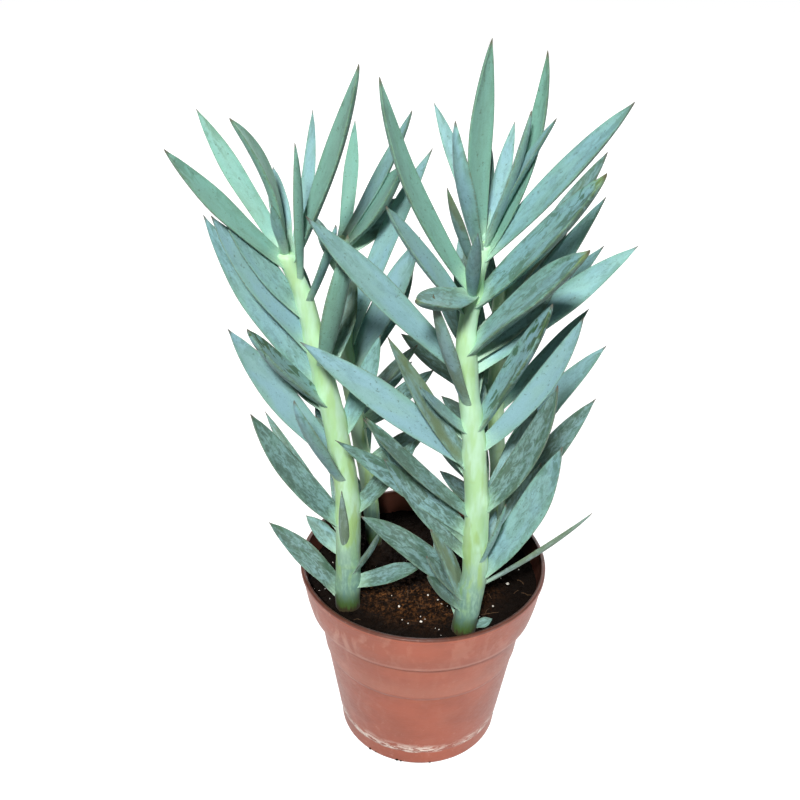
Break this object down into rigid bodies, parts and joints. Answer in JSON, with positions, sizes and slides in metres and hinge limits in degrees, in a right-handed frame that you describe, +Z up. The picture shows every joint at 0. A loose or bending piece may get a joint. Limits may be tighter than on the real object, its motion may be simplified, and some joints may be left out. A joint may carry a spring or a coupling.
{
  "type": "potted chalk sticks",
  "caption": "Potted chalk sticks: upright fleshy stems with long blue-green pointed leaves, in dark soil in a tapered terracotta-coloured nursery pot.",
  "frame": {"origin": "centre of the pot's flat base", "axes": "+Z up along the pot's axis, -Y towards the side that is usually seen, +X to the right from there"},
  "size_m": [0.1658, 0.1435, 0.3269],
  "materials": {
    "pot_plastic": "satin, terracotta-coloured",
    "potting_soil": "rough, granular, damp",
    "foliage": "powdery wax bloom over smooth fleshy leaf"
  },
  "bodies": {
    "root": {"pot": "pot_plastic", "soil": "potting_soil", "leafy_stem_front_left": "foliage", "leafy_stem_back_left": "foliage", "leafy_stem_front_right": "foliage", "leafy_stem_back_right": "foliage"}
  },
  "joints": []
}
